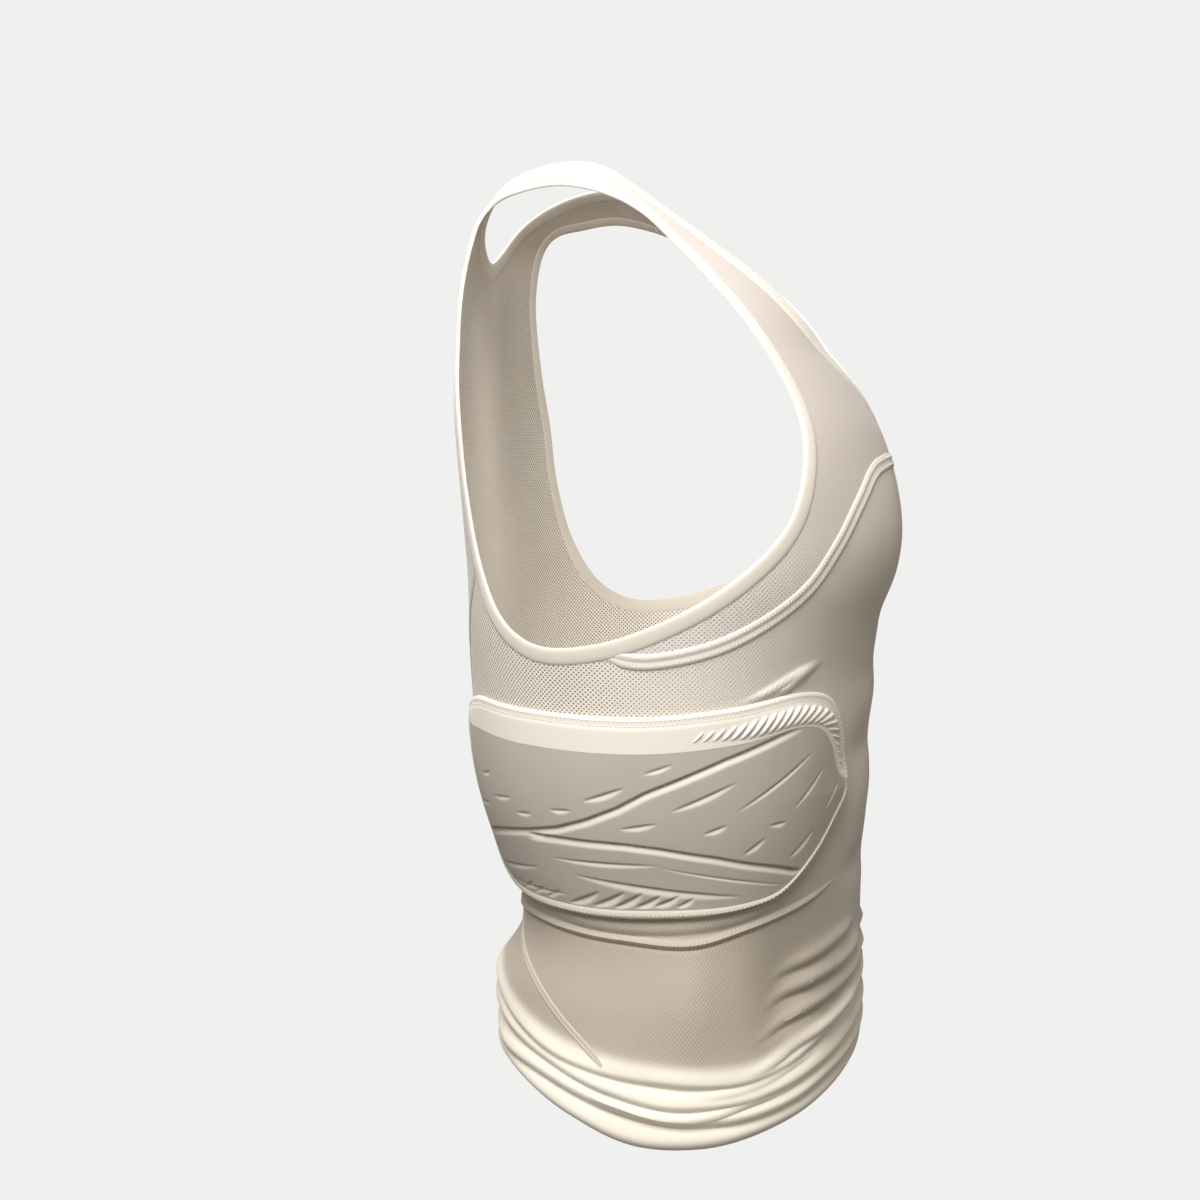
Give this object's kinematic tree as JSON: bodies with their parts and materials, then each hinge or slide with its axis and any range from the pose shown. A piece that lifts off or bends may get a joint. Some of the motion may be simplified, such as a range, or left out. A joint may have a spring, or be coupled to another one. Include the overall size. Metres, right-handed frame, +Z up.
{
  "type": "padded compression tank top",
  "caption": "Sleeveless padded compression top in its worn shape, with a V neck, bound armholes, a smooth chest yoke, knit body panels, framed foam rib pads and a bunched hem.",
  "frame": {"origin": "midway between the two shoulder straps, at the height of the straps' ridge", "axes": "+Z up along the wearer's body, -Y the way the wearer faces, -X the wearer's right"},
  "size_m": [0.3454, 0.263, 0.5593],
  "materials": {
    "open_knit": "fine open knit, matt",
    "smooth_knit": "smooth dense knit, matt",
    "pad_face": "smooth laminated cloth, satin",
    "trim": "stitched tape, matt"
  },
  "bodies": {
    "root": {"chest_yoke": "smooth_knit", "front_panel": "open_knit", "back_panel": "open_knit", "neck_binding": "trim", "chest_seam": "trim", "armhole_binding_right": "trim", "side_seam_right": "trim", "rib_pad_right": "pad_face", "pad_border_right": "trim", "armhole_binding_left": "trim", "side_seam_left": "trim", "rib_pad_left": "pad_face", "pad_border_left": "trim"}
  },
  "joints": []
}
